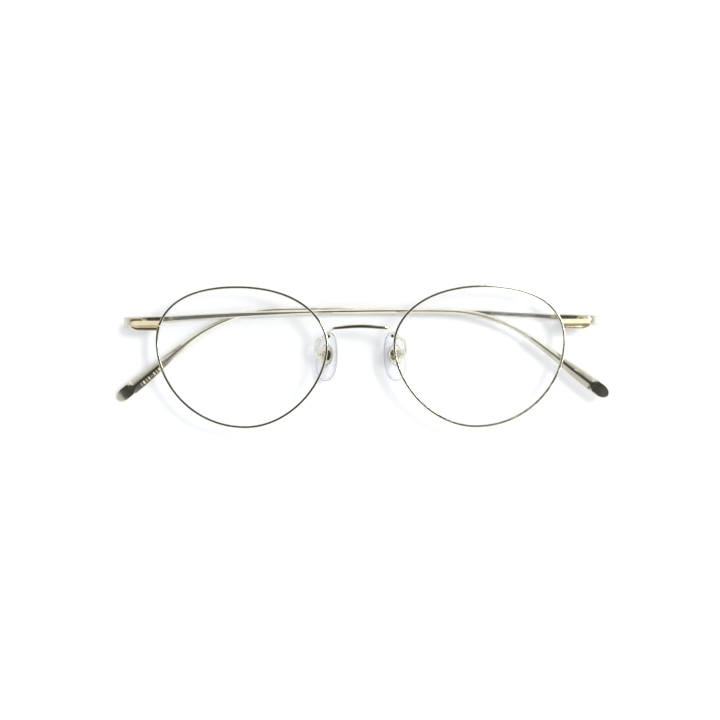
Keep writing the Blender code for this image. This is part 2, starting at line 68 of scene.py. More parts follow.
# Front, with depths measured from the crown of the lenses.
LENS_WIDTH = 48.0
BRIDGE_WIDTH = 19.0
LENS_MIDDLE = (LENS_WIDTH + BRIDGE_WIDTH) / 2
LENS_TOP = 19.8
LENS_BOTTOM = -19.6
NASAL_LEVEL = 3.6
TEMPORAL_LEVEL = 4.6
TOP_SHIFT = 1.6
BOTTOM_SHIFT = -1.1
LENS_CURVE_RADIUS = 132.0
WRAP_ANGLE = 4.0
LENS_THICKNESS = 1.5
FRONT_HEIGHT = 13.7

# Eyewire.
WIRE_HALF_WIDTH = 0.35
WIRE_HALF_DEPTH = 0.85
WIRE_ROUND = 0.18
GROOVE_HALF_WIDTH = 0.36
GROOVE_BOTTOM = 0.05
WIRE_STATIONS = 300
WIRE_SLIT = 0.3
WIRE_SLIT_LEVEL = 9.05

# Lenses.
LENS_STATIONS = 200
LENS_RINGS = np.linspace(0.03, 0.975, 22)    # shares of the outline
LENS_CHAMFER = 0.08

# Temples.
TEMPLE_LENGTH = 144.6
TEMPLE_FRONT_OVERHANG = 5.3
TEMPLE_OFFSET = 2.1
TEMPLE_THICKNESS = 1.2
TEMPLE_LIFT = 1.15
TEMPLE_BOW_RADIUS = 1000.0
BEND_RADIUS = 44.0
TEMPLE_TIP = 25.0
PADDLE_END_LENGTH = 2.6
TEMPLE_FIT = {
    "right": {"rise": 4.1, "bend": 36.3, "lean": 3.4},
    "left": {"rise": 4.8, "bend": 38.5, "lean": 0.0},
}


# ---- materials ----------------------------------------------------------------------------


class Nodes:
    """Short calls for building one material's node tree."""

    def __init__(self, name):
        self.material = bpy.data.materials.new(name)
        self.material.use_nodes = True
        self.tree = self.material.node_tree
        self.shader = self.tree.nodes["Principled BSDF"]

    def set(self, **values):
        for key, value in values.items():
            self.shader.inputs[key.replace("_", " ")].default_value = value

    def make(self, kind, links=None, **settings):
        node = self.tree.nodes.new(kind)
        for key, value in settings.items():
            setattr(node, key, value)
        for socket, source in (links or {}).items():
            if isinstance(source, bpy.types.NodeSocket):
                self.tree.links.new(source, node.inputs[socket])
            else:
                node.inputs[socket].default_value = source
        return node

    def link(self, source, socket):
        self.tree.links.new(source, self.shader.inputs[socket])

    def place(self):
        return self.make("ShaderNodeTexCoord").outputs["Object"]

    def noise(self, scale, detail=4.0, stretch=(1, 1, 1), rough=0.55):
        mapping = self.make("ShaderNodeMapping", {"Vector": self.place(), "Scale": stretch})
        noise = self.make("ShaderNodeTexNoise", {"Vector": mapping.outputs[0], "Scale": scale,
                                                 "Detail": detail, "Roughness": rough})
        return noise.outputs["Fac"]

    def ramp(self, source, low, high, start=0.3, end=0.7):
        """Colours or greys from low to high as source goes from start to end."""
        made = self.make("ShaderNodeValToRGB", {"Fac": source})
        for element, place, value in zip(made.color_ramp.elements, (start, end), (low, high)):
            element.position = place
            value = (value,) * 3 if isinstance(value, (int, float)) else value
            element.color = (*value, 1.0)
        return made.outputs["Color"]

    def bump(self, source, strength, distance):
        made = self.make("ShaderNodeBump", {"Height": source, "Strength": strength,
                                            "Distance": distance * MM})
        self.link(made.outputs["Normal"], "Normal")


def plated_metal(name, pale, deep, smooth, dull, scratches=0.05):
    """Polished plating: a slow drift of tone, fine polishing lines and cloudy changes of gloss."""
    made = Nodes(name)
    made.set(Metallic=1.0)
    made.link(made.ramp(made.noise(160, 3), pale, deep, 0.32, 0.68), "Base Color")
    made.link(made.ramp(made.noise(900, 5), smooth, dull, 0.35, 0.75), "Roughness")
    made.bump(made.noise(2600, 4, (1, 6, 6), 0.6), scratches, 0.01)
    return made.material


def lens_material():
    """Clear coated lens: almost nothing straight on, brighter and faintly green at a glancing angle, where a
    painted sheen makes it more opaque.
    """
    made = Nodes("lens_clear")
    facing = made.make("ShaderNodeLayerWeight", {"Blend": 0.28}).outputs["Facing"]
    # painted sheen: the lens grows more opaque, and so paler, the more edge-on it is seen
    made.link(made.ramp(facing, 0.035, 0.42, 0.1, 1.0), "Alpha")
    made.link(made.ramp(made.noise(45, 2), (0.93, 0.97, 0.95), (0.96, 0.97, 0.98)), "Base Color")
    made.link(made.ramp(made.noise(500, 4), 0.01, 0.045, 0.35, 0.8), "Roughness")
    made.set(IOR=1.55, Specular_IOR_Level=0.5)
    return made.material


def silicone_material():
    """Clear soft silicone: nearly invisible inside, with a soft skin, and painted shade at its edges: greyer
    and more opaque where the surface is seen edge-on.
    """
    made = Nodes("pad_silicone")
    facing = made.make("ShaderNodeLayerWeight", {"Blend": 0.5}).outputs["Facing"]
    # painted shade: the pad grows more opaque and darker grey the more edge-on it is seen
    made.link(made.ramp(facing, 0.08, 1.0, 0.22, 0.64), "Alpha")
    made.link(made.ramp(facing, (0.84, 0.84, 0.88), (0.14, 0.14, 0.18), 0.35, 0.85), "Base Color")
    made.link(made.ramp(made.noise(700, 4), 0.16, 0.3), "Roughness")
    made.set(IOR=1.41, Specular_IOR_Level=0.5)
    made.bump(made.noise(1500, 5), 0.06, 0.02)
    return made.material


def engraving_material():
    """Matt yellow strokes, as cut through the polish."""
    made = Nodes("engraved_marks")
    made.link(made.ramp(made.noise(2000, 3), (0.86, 0.80, 0.50), (0.70, 0.64, 0.36)), "Base Color")
    made.link(made.ramp(made.noise(3000, 3), 0.35, 0.6), "Roughness")
    made.set(Metallic=0.6)
    return made.material


MATERIALS = {
    "gold": plated_metal("champagne_gold", (0.75, 0.72, 0.59), (0.64, 0.61, 0.48), 0.07, 0.16),
    "lug": plated_metal("end_piece_gold", (0.78, 0.69, 0.47), (0.66, 0.56, 0.34), 0.09, 0.18),
    "wire": plated_metal("eyewire_gold", (0.74, 0.71, 0.58), (0.64, 0.61, 0.48), 0.08, 0.18),
    "screw": plated_metal("screw_gold", (0.55, 0.50, 0.34), (0.45, 0.40, 0.26), 0.18, 0.34, 0.15),
    "lens": lens_material(),
    "silicone": silicone_material(),
    "engraving": engraving_material(),
}


# ---- mesh helpers -------------------------------------------------------------------------


def add_mesh(name, work, kind, smooth=35.0, place=None):
    """Turns a bmesh in millimetres into an object; place is its matrix in millimetres."""
    bmesh.ops.recalc_face_normals(work, faces=work.faces)
    if place is not None:
        work.transform(place)
    work.transform(Matrix.Scale(MM, 4))
    mesh = bpy.data.meshes.new(name)
    work.to_mesh(mesh)
    work.free()
    mesh.shade_smooth()
    mesh.set_sharp_from_angle(angle=math.radians(smooth))
    made = bpy.data.objects.new(name, mesh)
    bpy.context.scene.collection.objects.link(made)
    if kind:
        mesh.materials.append(MATERIALS[kind])
    return made


def loft(name, rings, kind, place=None, smooth=35.0):
    """A solid through rings of equally many points, capped at both ends."""
    work = bmesh.new()
    rows = [[work.verts.new(Vector(p)) for p in ring] for ring in rings]
    count = len(rows[0])
    work.faces.new(rows[0])
    work.faces.new(list(reversed(rows[-1])))
    for a, b in zip(rows, rows[1:]):
        for i in range(count):
            j = (i + 1) % count
            work.faces.new((a[i], a[j], b[j], b[i]))
    return add_mesh(name, work, kind, smooth, place)


def circle(radius, count, along, axis="Y"):
    """Points of a circle round an axis, at a distance along it."""
    ring = []
    for i in range(count):
        turn = 2 * math.pi * i / count
        a, b = radius * math.cos(turn), radius * math.sin(turn)
        ring.append(Vector({"X": (along, a, b), "Y": (b, along, a), "Z": (a, b, along)}[axis]))
    return ring


def turned(name, profile, kind, place, axis="Y", count=48, smooth=35.0):
    """A turned solid: profile is a list of (distance along the axis, radius)."""
    return loft(name, [circle(radius, count, along, axis) for along, radius in profile], kind, place, smooth)


def prism(name, outline, low, high, kind, place, smooth=35.0):
    """An outline of (x, z) points made solid from low to high along Y."""
    return loft(name, [[(x, y, z) for x, z in outline] for y in (low, high)], kind, place, smooth)


def block(name, low, high, kind, place):
    """A box between its lowest and highest corners."""
    outline = [(low[0], low[2]), (high[0], low[2]), (high[0], high[2]), (low[0], high[2])]
    return prism(name, outline, low[1], high[1], kind, place)


def apply_modifiers(piece):
    """Makes what the modifiers give the piece's own mesh."""
    shape = piece.evaluated_get(bpy.context.evaluated_depsgraph_get())
    mesh = bpy.data.meshes.new_from_object(shape)
    piece.modifiers.clear()
    piece.data = mesh
    return piece


def combine(piece, *helpers, operation="DIFFERENCE"):
    """Cuts or joins helper solids and removes them."""
    for helper in helpers:
        step = piece.modifiers.new(helper.name, "BOOLEAN")
        step.operation = operation
        step.object = helper
    bpy.context.view_layer.update()
    apply_modifiers(piece)
    for helper in helpers:
        bpy.data.objects.remove(helper, do_unlink=True)
    return piece


def soften(piece, width, segments=3, angle=32.0):
    """Rounds every sharp edge by a width in millimetres."""
    step = piece.modifiers.new("rounded_edges", "BEVEL")
    step.width = width * MM
    step.segments = segments
    step.limit_method = "ANGLE"
    step.angle_limit = math.radians(angle)
    step.harden_normals = True
    bpy.context.view_layer.update()
    apply_modifiers(piece)
    return piece


def smooth_through(points, count):
    """Points along a Catmull-Rom curve through the given ones; all their values are blended."""
    p = np.array(points, float)
    p = np.vstack([2 * p[0] - p[1], p, 2 * p[-1] - p[-2]])
    out = []
    for t in np.linspace(0, len(points) - 1, count):
        i = min(int(t), len(points) - 2)
        f = t - i
        a, b, c, d = p[i:i + 4]
        square = 2 * a - 5 * b + 4 * c - d
        cube = 3 * b - a - 3 * c + d
        out.append(0.5 * (2 * b + (c - a) * f + square * f ** 2 + cube * f ** 3))
    return np.array(out)


def ease(value, low, high):
    """From 0 at low to 1 at high, level at both ends."""
    share = min(1.0, max(0.0, (value - low) / (high - low)))
    return share * share * (3 - 2 * share)


def done(piece, kind, body, *nodes):
    """Sets what a finished piece rides on and replaces; kind is not used."""
    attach(piece, body)
    if nodes:
        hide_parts(*nodes)
    return piece


# ---- lens outline -------------------------------------------------------------------------


def bezier(a, b, c, d, count):
    """Points along a cubic curve, without its last one."""
    t = np.linspace(0, 1, count, endpoint=False)[:, None]
    a, b, c, d = (np.array(v, float) for v in (a, b, c, d))
    return (1 - t) ** 3 * a + 3 * (1 - t) ** 2 * t * b + 3 * (1 - t) * t * t * c + t ** 3 * d


def lens_outline():
    """A dense closed outline (towards the temple, up), from four extreme points with level handles."""
    half = LENS_WIDTH / 2
    nasal = np.array((-half, NASAL_LEVEL))
    top = np.array((TOP_SHIFT, LENS_TOP))
    temporal = np.array((half, TEMPORAL_LEVEL))
    bottom = np.array((BOTTOM_SHIFT, LENS_BOTTOM))
    quarters = (
        (nasal, (0, 1), 0.40, top, (1, 0), 0.73),
        (top, (1, 0), 0.66, temporal, (0, -1), 0.61),
        (temporal, (0, -1), 0.49, bottom, (-1, 0), 0.60),
        (bottom, (-1, 0), 0.53, nasal, (0, 1), 0.49),
    )
    parts = []
    for start, leave, share_a, end, arrive, share_b in quarters:
        span = np.abs(end - start)
        leave, arrive = np.array(leave), np.array(arrive)
        handle_a = start + leave * share_a * np.dot(span, np.abs(leave))
        handle_b = end - arrive * share_b * np.dot(span, np.abs(arrive))
        parts.append(bezier(start, handle_a, handle_b, end, 300))
    return np.vstack(parts)


OUTLINE = lens_outline()


def outline_stations(count, slit=None):
    """Evenly spaced points and outward normals; with a slit, an open run that starts and ends beside it."""
    points = OUTLINE
    if slit is not None:
        beside = np.where(points[:, 0] > 0, np.abs(points[:, 1] - WIRE_SLIT_LEVEL), np.inf)
        points = np.roll(points, -int(np.argmin(beside)), axis=0)
    points = np.vstack([points, points[:1]])
    steps = np.r_[0, np.cumsum(np.linalg.norm(np.diff(points, axis=0), axis=1))]
    edge = 0 if slit is None else slit / 2
    wanted = np.linspace(edge, steps[-1] - edge, count, endpoint=slit is not None)

    def at(distance):
        distance = distance % steps[-1]
        return np.c_[np.interp(distance, steps, points[:, 0]), np.interp(distance, steps, points[:, 1])]

    tangent = at(wanted + 0.3) - at(wanted - 0.3)
    normal = np.c_[-tangent[:, 1], tangent[:, 0]]
    normal /= np.linalg.norm(normal, axis=1)[:, None]
    return at(wanted), normal


def lens_depth(towards_temple, up):
    """Depth of the lens's middle surface: a shallow dome, wrapped back at the temple side."""
    dome = (towards_temple ** 2 + up ** 2) / (2 * LENS_CURVE_RADIUS)
    return -dome - towards_temple * math.tan(math.radians(WRAP_ANGLE))


def lens_point(sign, towards_temple, up, depth):
    """A point of the front, at a depth in front of the lens's middle surface."""
    level = FRONT_HEIGHT + lens_depth(towards_temple, up) + depth
    return Vector((sign * (LENS_MIDDLE + towards_temple), up, level))


# ---- front --------------------------------------------------------------------------------


def rounded_corner(corner, start, end, radius, count=5):
    """Points of a rounded corner between two directions that leave it."""
    corner, start, end = np.array(corner), np.array(start, float), np.array(end, float)
    points = []
    for t in np.linspace(0, 1, count):
        points.append(tuple(corner + radius * ((1 - t) ** 2 * start + t ** 2 * end)))
    return points


def wire_profile():
    """(outwards, forwards) points of the eyewire's section: rounded outside, V groove inside."""
    w, d, g = WIRE_HALF_WIDTH, WIRE_HALF_DEPTH, GROOVE_HALF_WIDTH
    profile = rounded_corner((w, -d), (-1, 0), (0, 1), WIRE_ROUND)
    profile += rounded_corner((w, d), (0, -1), (-1, 0), WIRE_ROUND)
    profile += rounded_corner((-w, d), (1, 0), (0, -1), 0.6 * WIRE_ROUND, 4)
    profile += [(-w, g + 0.03), (-w + 0.04, g), (GROOVE_BOTTOM, 0.05), (GROOVE_BOTTOM, -0.05),
                (-w + 0.04, -g), (-w, -g - 0.03)]
    profile += rounded_corner((-w, -d), (0, 1), (1, 0), 0.6 * WIRE_ROUND, 4)
    return profile


def make_eyewire(side, sign):
    """A thin wire round the lens, open by a slit at the temple side."""
    at, normal = outline_stations(WIRE_STATIONS, WIRE_SLIT)
    profile = wire_profile()
    rings = []
    for point, across in zip(at, normal):
        rings.append([lens_point(sign, *point, depth) + Vector((sign * across[0], across[1], 0)) * shift
                      for shift, depth in profile])
    piece = loft(f"eyewire_{side}", rings, "wire", smooth=40)
    return done(piece, "wire", "front", f"rim_{side}")


def make_lens(side, sign):
    """A meniscus lens with a bevelled edge that sits in the eyewire's groove."""
    shoulder = -WIRE_HALF_WIDTH - LENS_CHAMFER
    apex = GROOVE_BOTTOM - 0.12
    half = LENS_THICKNESS / 2
    at, normal = outline_stations(LENS_STATIONS)
    rings = [[lens_point(sign, *(p * share), -half) for p in at] for share in LENS_RINGS]
    edge = (
        (shoulder - LENS_CHAMFER, -half), (shoulder, -half + LENS_CHAMFER), (shoulder, -GROOVE_HALF_WIDTH),
        (apex, 0.0),
        (shoulder, GROOVE_HALF_WIDTH), (shoulder, half - LENS_CHAMFER), (shoulder - LENS_CHAMFER, half),
    )
    for shift, depth in edge:
        rings.append([lens_point(sign, *p, depth) + Vector((sign * n[0], n[1], 0)) * shift
                      for p, n in zip(at, normal)])
    rings += [[lens_point(sign, *(p * share), half) for p in at] for share in reversed(LENS_RINGS)]
    piece = loft(f"lens_glass_{side}", rings, "lens")
    return done(piece, "lens", "front", f"lens_{side}")


BRIDGE_PATH = (  # out, y, z, half height, half depth
    (9.12, 5.75, -0.60, 0.42, 0.55),
    (8.78, 6.70, -0.40, 0.34, 0.60),
    (8.30, 7.60, -0.05, 0.36, 0.65),
    (7.40, 8.10, 0.42, 0.46, 0.70),
    (5.00, 8.36, 0.54, 0.58, 0.75),
    (2.50, 8.58, 0.66, 0.63, 0.78),
    (0.00, 8.67, 0.70, 0.65, 0.80),
)
BRIDGE_SECTION = (  # shares of the half height and half depth, from the lower edge round the front
    (-1.0, -0.55), (-1.0, 0.70), (-0.98, 0.84), (-0.92, 0.93), (-0.80, 0.985), (-0.55, 1.0), (0.10, 1.0),
    (0.45, 0.985), (0.70, 0.94), (0.86, 0.85), (0.96, 0.70), (1.0, 0.50), (1.0, -0.55), (0.88, -0.85),
    (0.60, -1.0), (-0.60, -1.0), (-0.88, -0.85),
)
BRIDGE_STATIONS = 161


def make_bridge():
    """A bar arched over the nose, flat on its front, with a leg down to each eyewire."""
    right = [(-out, *rest) for out, *rest in BRIDGE_PATH]
    left = [(out, *rest) for out, *rest in reversed(BRIDGE_PATH[:-1])]
    path = smooth_through(right + left, BRIDGE_STATIONS)
    last = BRIDGE_STATIONS - 1
    rings = []
    for i, (x, y, z, tall, deep) in enumerate(path):
        along = Vector(path[min(i + 1, last)][:3] - path[max(i - 1, 0)][:3]).normalized()
        up = Vector((0, 0, 1)).cross(along).normalized()
        front = along.cross(up).normalized()
        middle = Vector((x, y, z + FRONT_HEIGHT))
        rings.append([middle + up * tall * high + front * deep * forward for high, forward in BRIDGE_SECTION])
    piece = loft("bridge_bar", rings, "gold", smooth=40)
    return done(piece, "gold", "front", "bridge")


SOLDER_BEAD = (8.95, 5.85, 0.25)    # out, y and z of the bead's top
SOLDER_DOME = ((-0.80, 0.44), (-0.30, 0.54), (-0.10, 0.52), (-0.03, 0.48), (0.0, 0.43), (0.005, 0.12))


def make_solder_bead(side, sign):
    """The small flat-topped bead where a leg of the bridge is brazed to the eyewire."""
    out, y, z = SOLDER_BEAD
    place = Matrix.Translation((sign * out, y, FRONT_HEIGHT + z))
    piece = turned(f"solder_bead_{side}", SOLDER_DOME, "wire", place, "Z", 24, 20)
    return done(piece, "wire", "front")


# ---- lugs and closing blocks --------------------------------------------------------------

LUG_TOP = 10.45
LUG_BEVEL = 9.20
LUG_BOTTOM = 7.65
LUG_END = 65.0
LUG_ROUND = 2.7
LUG_FRONT = -3.1
LUG_THICKNESS = 1.9
LUG_SHOULDER = 11.2
LUG_START = 57.4
LUG_RAKE = 0.05              # how much the front falls away for each millimetre outwards
LUG_STRAIGHT = 58.4          # sections are square to the lug from here outwards
LUG_SLOPES = (               # of the crowned front, from its lower edge up
    0.00, 0.01, 0.03, 0.06, 0.09, 0.13, 0.17, 0.21, 0.24, 0.24, 0.16, 0.04,
)
LUG_EDGE = 0.2               # height of the rounding at that lower edge
SHOULDER_RISE = (60.9, 61.7)
SHOULDER_FALL = (64.3, 0.3)  # where it starts to fall, and how steeply
SOLDER_GAP = 0.05


def wire_edge(level, beyond):
    """Distance from the middle plane to a line this far outside the eyewire's centre, at the temple side."""
    tangent = np.roll(OUTLINE, -1, axis=0) - np.roll(OUTLINE, 1, axis=0)
    normal = np.c_[-tangent[:, 1], tangent[:, 0]] / np.linalg.norm(tangent, axis=1)[:, None]
    line = OUTLINE + normal * beyond
    side = line[line[:, 0] > LENS_WIDTH / 4]
    order = np.argsort(side[:, 1])
    return LENS_MIDDLE + float(np.interp(level, side[order, 1], side[order, 0]))


def lug_section(out):
    """(y, z) points of the lug at a distance from the middle plane; its front is gently crowned."""
    share = max(0.0, (out - (LUG_END - LUG_ROUND)) / LUG_ROUND)
    low = LUG_BOTTOM + 1.75 * (1 - math.sqrt(max(0.0, 1 - share ** 2)))
    high = LUG_TOP - 0.45 * share ** 6
    bevel = LUG_BEVEL - 0.15 * share ** 6
    shoulder = LUG_TOP + 0.05 + (LUG_SHOULDER - LUG_TOP - 0.05) * ease(out, *SHOULDER_RISE)
    shoulder -= SHOULDER_FALL[1] * max(0.0, out - SHOULDER_FALL[0])
    front = LUG_FRONT - LUG_RAKE * (out - LUG_START)
    face = front - 0.03 * share ** 4
    back = front - LUG_THICKNESS
    points = [(low, back + 0.1), (low, face - 0.62)]
    points += [(low + 0.06, face - 0.36), (low + 0.17, face - 0.16)]
    fall = 0.0
    step = (bevel - low - LUG_EDGE) / len(LUG_SLOPES)
    for slope in LUG_SLOPES:
        fall += slope * step
        points.append((points[-1][0] + step, face - 0.12 - fall))
    points += [(bevel + 0.05, face - 0.16 - fall), (high - 0.08, face - 0.95), (high, face - 1.03)]
    points += [(high, back + 0.78), (high + 0.05 * (shoulder > high + 0.1), back + 0.68)]
    points += [(shoulder - 0.12, back + 0.6), (shoulder, back + 0.48), (shoulder, back + 0.1)]
    points += [(shoulder - 0.1, back), (low + 0.1, back)]
    return points


def make_lug(side, sign):
    """The end piece brazed to the eyewire, with a round lower corner at its outer end."""
    straight = np.linspace(LUG_STRAIGHT, LUG_END - LUG_ROUND, 22)
    turn = np.linspace(0, 1, 24)[1:] * math.pi / 2
    rounded = LUG_END - LUG_ROUND * (1 - np.sin(turn))
    rings = []
    for out in (None, *straight, *rounded):    # None is the end that follows the eyewire
        ring = []
        for y, z in lug_section(out or LUG_START + 0.2):
            place = out or wire_edge(y, WIRE_HALF_WIDTH + SOLDER_GAP)
            ring.append(Vector((sign * place, y, FRONT_HEIGHT + z)))
        rings.append(ring)
    piece = loft(f"end_piece_{side}", rings, "lug", smooth=28)
    done(piece, "lug", "front", f"lug_{side}")


LOCK_OUT = (57.0, 60.2)
LOCK_DEPTH = (-7.4, -5.35)
LOCK_SCREW = (58.9, -6.4)
LOCK_SEAM = 0.08
LOCK_LEVELS = (8.05, 10.4)
LOCK_BORE = 0.55
LOCK_SCREW_HEAD = (            # level, radius
    (7.68, 0.0), (7.68, 0.55), (7.70, 0.68), (7.76, 0.78), (7.96, 0.8), (8.0, 0.77), (8.0, 0.47),
)
LOCK_SCREW_THREAD = [(8.1 + 0.12 * i, 0.47 if i % 2 else 0.42) for i in range(17)]
DRIVER_SLOT_LENGTH = 2.4
DRIVER_SLOT_WIDTH = 0.22
FRONT_PLACE = Matrix.Translation((0, 0, FRONT_HEIGHT))


def screw_slot(name, low, high, place):
    """A cutter for a straight driver slot across a screw's head."""
    x, z = DRIVER_SLOT_LENGTH / 2, DRIVER_SLOT_WIDTH / 2
    return block(name, (-x, low, -z), (x, high, z), None, place)


def make_closing_blocks(side, sign):
    """Two blocks on the ends of the eyewire, clamped by a screw from below."""
    ends = sorted(sign * out for out in LOCK_OUT)
    at_screw = FRONT_PLACE @ Matrix.Translation((sign * LOCK_SCREW[0], 0, LOCK_SCREW[1]))
    spans = {
        "upper": (WIRE_SLIT_LEVEL + LOCK_SEAM, LOCK_LEVELS[1]),
        "lower": (LOCK_LEVELS[0], WIRE_SLIT_LEVEL - LOCK_SEAM),
    }
    for which, (low, high) in spans.items():
        piece = block(f"closing_block_{which}_{side}", (ends[0], low, LOCK_DEPTH[0]),
                      (ends[1], high, LOCK_DEPTH[1]), "gold", FRONT_PLACE)
        combine(piece, turned("bore", ((low - 1, LOCK_BORE), (high + 1, LOCK_BORE)), None, at_screw))
        soften(piece, 0.14)
        done(piece, "gold", "front", f"rim_lock_{which}_{side}")
    profile = (*LOCK_SCREW_HEAD, *LOCK_SCREW_THREAD, (10.2, 0.4))
    piece = turned(f"closing_screw_{side}", profile, "screw", at_screw)
    combine(piece, screw_slot("slot", 7.4, 7.83, at_screw))
    done(piece, "screw", "front", f"rim_screw_{side}")


# ---- hinges -------------------------------------------------------------------------------

KNUCKLE_RADIUS = 1.05
HINGE_HALF_HEIGHT = 1.35
SLOT_HALF_HEIGHT = 0.5
MIDDLE_HALF_HEIGHT = 0.42
BORE_RADIUS = 0.42
PIN_RADIUS = 0.36
HEAD_RADIUS = 0.8
LEAF_BACK = -1.32


def joint(name):
    """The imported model's joint of this name."""
    return next(j for j in frame["joints"] if j["name"] == name)


def hinge_places(side, sign):
    """Matrices of the fixed leaf, of the folded temple and of its leaf, from the joint's place and axis."""
    turning = joint(f"temple_{side}_hinge")
    pivot = Matrix.Translation(Vector(turning["pos_m"]) / MM)
    axis = Vector(turning["axis"]) * math.copysign(1, turning["axis"][1])
    cant = Vector((0, 1, 0)).rotation_difference(axis).to_matrix().to_4x4()
    lean = Matrix.Rotation(math.radians(sign * TEMPLE_FIT[side]["lean"]), 4, axis)
    return pivot @ cant, pivot @ lean, pivot @ lean @ cant


def arc(radius, start, end, count):
    """Points of an arc round the origin, between two angles in degrees."""
    turns = np.radians(np.linspace(start, end, count))
    return [(radius * math.cos(t), radius * math.sin(t)) for t in turns]


def make_hinge(side, sign):
    """Two knuckles on the front, one on the temple, and the screw through them."""
    fixed, _, moving = hinge_places(side, sign)
    r = KNUCKLE_RADIUS
    outline = [(-1.05, 5.45), (1.0, 5.45), (1.0, 4.6), (0.35, 3.6)] + arc(r, 70.5, -180, 48)
    leaf = prism(f"front_knuckles_{side}", [(sign * x, z) for x, z in outline],
                 -HINGE_HALF_HEIGHT, HINGE_HALF_HEIGHT, "gold", fixed)
    gap = turned("gap", ((-SLOT_HALF_HEIGHT, 1.3), (SLOT_HALF_HEIGHT, 1.3)), None, fixed)
    combine(leaf, gap, turned("bore", ((-3, BORE_RADIUS), (3, BORE_RADIUS)), None, fixed))
    soften(leaf, 0.09)
    done(leaf, "gold", "front", f"hinge_front_leaf_{side}")

    outline = [(-2.4, -0.88), (-2.4, LEAF_BACK), (0.2, LEAF_BACK), (0.4, -0.97)] + arc(r, -67, 222, 48)
    leaf = prism(f"temple_knuckle_{side}", [(sign * x, z) for x, z in outline],
                 -MIDDLE_HALF_HEIGHT, MIDDLE_HALF_HEIGHT, "gold", moving)
    ends = sorted((sign * -1.5, sign * -5.2))
    plate = block("plate", (ends[0], -0.30, LEAF_BACK), (ends[1], 1.9, -0.92), None, moving)
    combine(leaf, plate, operation="UNION")
    combine(leaf, turned("bore", ((-3, BORE_RADIUS), (3, BORE_RADIUS)), None, moving))
    soften(leaf, 0.07)
    done(leaf, "gold", f"temple_arm_{side}", f"hinge_temple_leaf_{side}")

    head = HINGE_HALF_HEIGHT + 0.05
    foot = -HINGE_HALF_HEIGHT
    shaft = ((foot, 0.0), (foot, PIN_RADIUS - 0.06), (foot + 0.06, PIN_RADIUS), (head, PIN_RADIUS))
    turns = np.radians((0, 15, 30, 45, 60, 75, 88))
    dome = [(head + 0.22 + 0.16 * math.sin(t), HEAD_RADIUS * math.cos(t)) for t in turns]
    profile = (*shaft, (head, HEAD_RADIUS - 0.03), (head + 0.03, HEAD_RADIUS), *dome)
    screw = turned(f"hinge_pin_{side}", profile, "screw", fixed)
    combine(screw, screw_slot("slot", head + 0.16, head + 0.8, fixed))
    done(screw, "screw", "front", f"hinge_screw_{side}")


# ---- temples ------------------------------------------------------------------------------

TEMPLE_HEIGHTS = ((0, 2.6), (5, 2.3), (16, 1.6), (60, 1.4), (110, 1.5), (123, 2.3), (137, 3.9), (146, 4.1))
TEMPLE_CROWN = 0.14            # the inner side's crown above the bar's nominal inner side
FLAT_NARROWS = (30, 56)        # the flat inner side turns into a ridge along here
END_FLAT = (6.4, 4.4)          # and back into a flat, this far from the tip
END_CURVE = 0.012              # how fast that flat falls away towards the tip
HINGE_LANDING = 11.0           # the hinge leaf lies on the flat up to here
RIDGE_HALF = 0.16
FACET_SLOPE = 0.46             # of the two facets beside the ridge
UPPER_FLATTENING = 0.15        # less slope on the paddle's upper facet
LOWER_FLATTENING = 0.29        # and on its lower one
BUTT_LENGTH = 3.6              # the front end is polished down over this length
BUTT_SLOPE = 0.44


def temple_height(along):
    """The bar's height at a length along it from the front end."""
    lengths, heights = zip(*TEMPLE_HEIGHTS)
    i = min(max(int(np.searchsorted(lengths, along)), 1), len(lengths) - 1)
    return heights[i - 1] + (heights[i] - heights[i - 1]) * ease(along, lengths[i - 1], lengths[i])


def temple_stations(rise, bend):
    """(length along, s, v, heading) from the front end: a faint bow, the bend, then a straight tip."""
    bend_end = TEMPLE_LENGTH - TEMPLE_TIP
    straight = bend_end - BEND_RADIUS * math.radians(bend)
    wanted = np.r_[0, 0.15, 0.35, 0.7, 1.2, np.arange(2, 12, 0.8), np.arange(12, 62, 1.5),
                   np.arange(62, straight, 4), np.arange(straight, TEMPLE_LENGTH - 7, 0.9),
                   np.arange(TEMPLE_LENGTH - 6.6, TEMPLE_LENGTH - PADDLE_END_LENGTH, 0.2),
                   TEMPLE_LENGTH - PADDLE_END_LENGTH * (1 - np.sin(np.radians(np.arange(0, 88, 3.5))))]
    step = 0.02
    heading = math.radians(rise)
    s, v, along = -TEMPLE_FRONT_OVERHANG, TEMPLE_LIFT - TEMPLE_FRONT_OVERHANG * math.tan(heading), 0.0
    found = []
    for target in wanted:
        while along < target:
            if straight < along < bend_end:
                heading -= step / BEND_RADIUS
            elif along <= straight:
                heading -= step / TEMPLE_BOW_RADIUS
            s += step * math.cos(heading)
            v += step * math.sin(heading)
            along += step
        found.append((target, s, v, heading))
    return found


